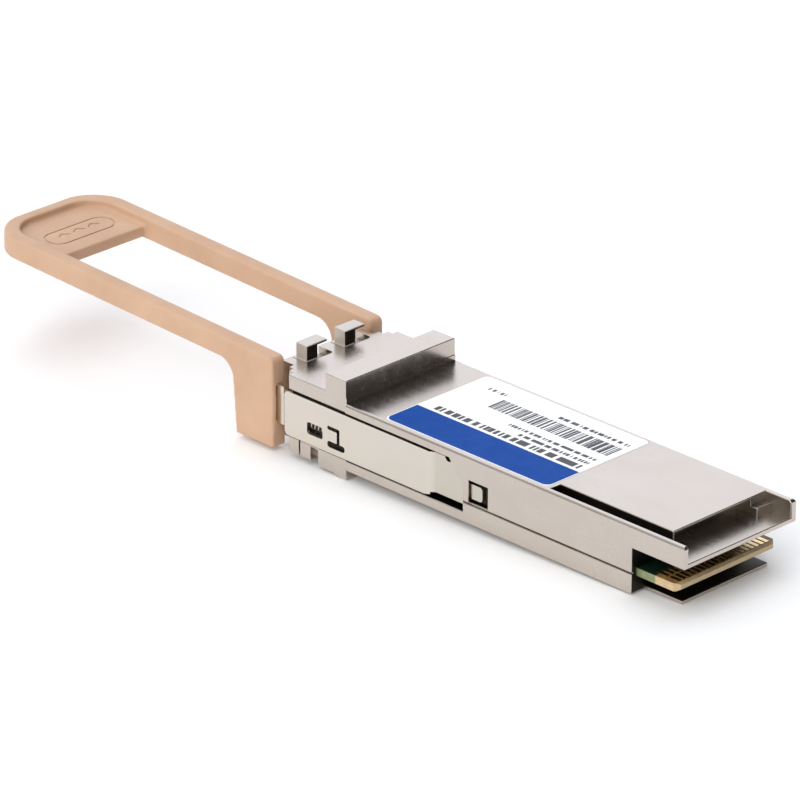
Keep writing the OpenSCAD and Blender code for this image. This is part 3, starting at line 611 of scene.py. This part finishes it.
camera = bpy.data.objects.new("camera", bpy.data.cameras.new("camera"))
bpy.context.scene.collection.objects.link(camera)
camera.location = Vector((468.98, 475.72, 308.67)) * MM
camera.rotation_mode = "QUATERNION"
camera.rotation_quaternion = VIEW.to_track_quat("-Z", "Y")
camera.data.sensor_width = 36
camera.data.lens = 280.66
bpy.context.scene.camera = camera

# The module rests on its keel, KEEL below the underside, and on its rear end, REAR behind that,
# both in mm; the floor is tilted to touch both
KEEL = 1.4
REAR = 52

floor_mat = plain("floor_paper", (0.94, 0.94, 0.94, 1), (0.96, 0.96, 0.96, 1), 0.8, 20)
bpy.ops.mesh.primitive_plane_add(size=1, location=(0, 0, -KEEL * MM),
                                 rotation=(math.atan2(KEEL, REAR), 0, 0))
floor = bpy.context.object
floor.name = "floor"
floor.scale = (4, 4, 1)
floor.data.materials.append(floor_mat)

# Lobes of light: direction, outer angle, inner angle, colour
LOBES = (((-0.55, -0.70, 0.50), 62, 30, (1.24, 1.28, 1.40)),
         ((0.80, 0.28, 0.52), 48, 18, (2.1, 2.1, 2.1)),
         ((0.68, -0.68, 0.30), 52, 14, (0.5, 0.5, 0.5)),
         ((0, 0, 1), 38, 12, (1.5, 1.5, 1.5)))
DIM = 0.02
WHITE = (1, 1, 1, 1)


def studio_world():
    """Soft light from the broad lobes in a dim room. The camera itself sees a plain pale
    backdrop."""
    world = bpy.data.worlds.new("studio")
    bpy.context.scene.world = world
    world.use_nodes = True
    tree = world.node_tree
    tree.nodes.clear()

    def node(kind, **props):
        n = tree.nodes.new("ShaderNode" + kind)
        for key, value in props.items():
            setattr(n, key, value)
        return n

    toward = node("TexCoord").outputs["Generated"]
    total = None
    for direction, outer, inner, colour in LOBES:
        dot = node("VectorMath", operation="DOT_PRODUCT")
        tree.links.new(toward, dot.inputs[0])
        dot.inputs[1].default_value = Vector(direction).normalized()
        fall = node("MapRange", interpolation_type="SMOOTHSTEP")
        fall.inputs["From Min"].default_value = math.cos(math.radians(outer))
        fall.inputs["From Max"].default_value = math.cos(math.radians(inner))
        tree.links.new(dot.outputs["Value"], fall.inputs["Value"])
        glow = node("VectorMath", operation="SCALE")
        glow.inputs[0].default_value = colour
        tree.links.new(fall.outputs[0], glow.inputs["Scale"])
        add = node("VectorMath", operation="ADD")
        tree.links.new(glow.outputs[0], add.inputs[0])
        if total is None:
            add.inputs[1].default_value = (DIM, DIM, DIM)
        else:
            tree.links.new(total, add.inputs[1])
        total = add.outputs[0]
    lit = node("Background")
    tree.links.new(total, lit.inputs["Color"])
    plain_back = node("Background")
    plain_back.inputs["Color"].default_value = WHITE
    mix = node("MixShader")
    tree.links.new(node("LightPath").outputs["Is Camera Ray"], mix.inputs[0])
    tree.links.new(lit.outputs[0], mix.inputs[1])
    tree.links.new(plain_back.outputs[0], mix.inputs[2])
    tree.links.new(mix.outputs[0], node("OutputWorld").inputs[0])


studio_world()
bpy.context.scene.view_settings.view_transform = "Standard"
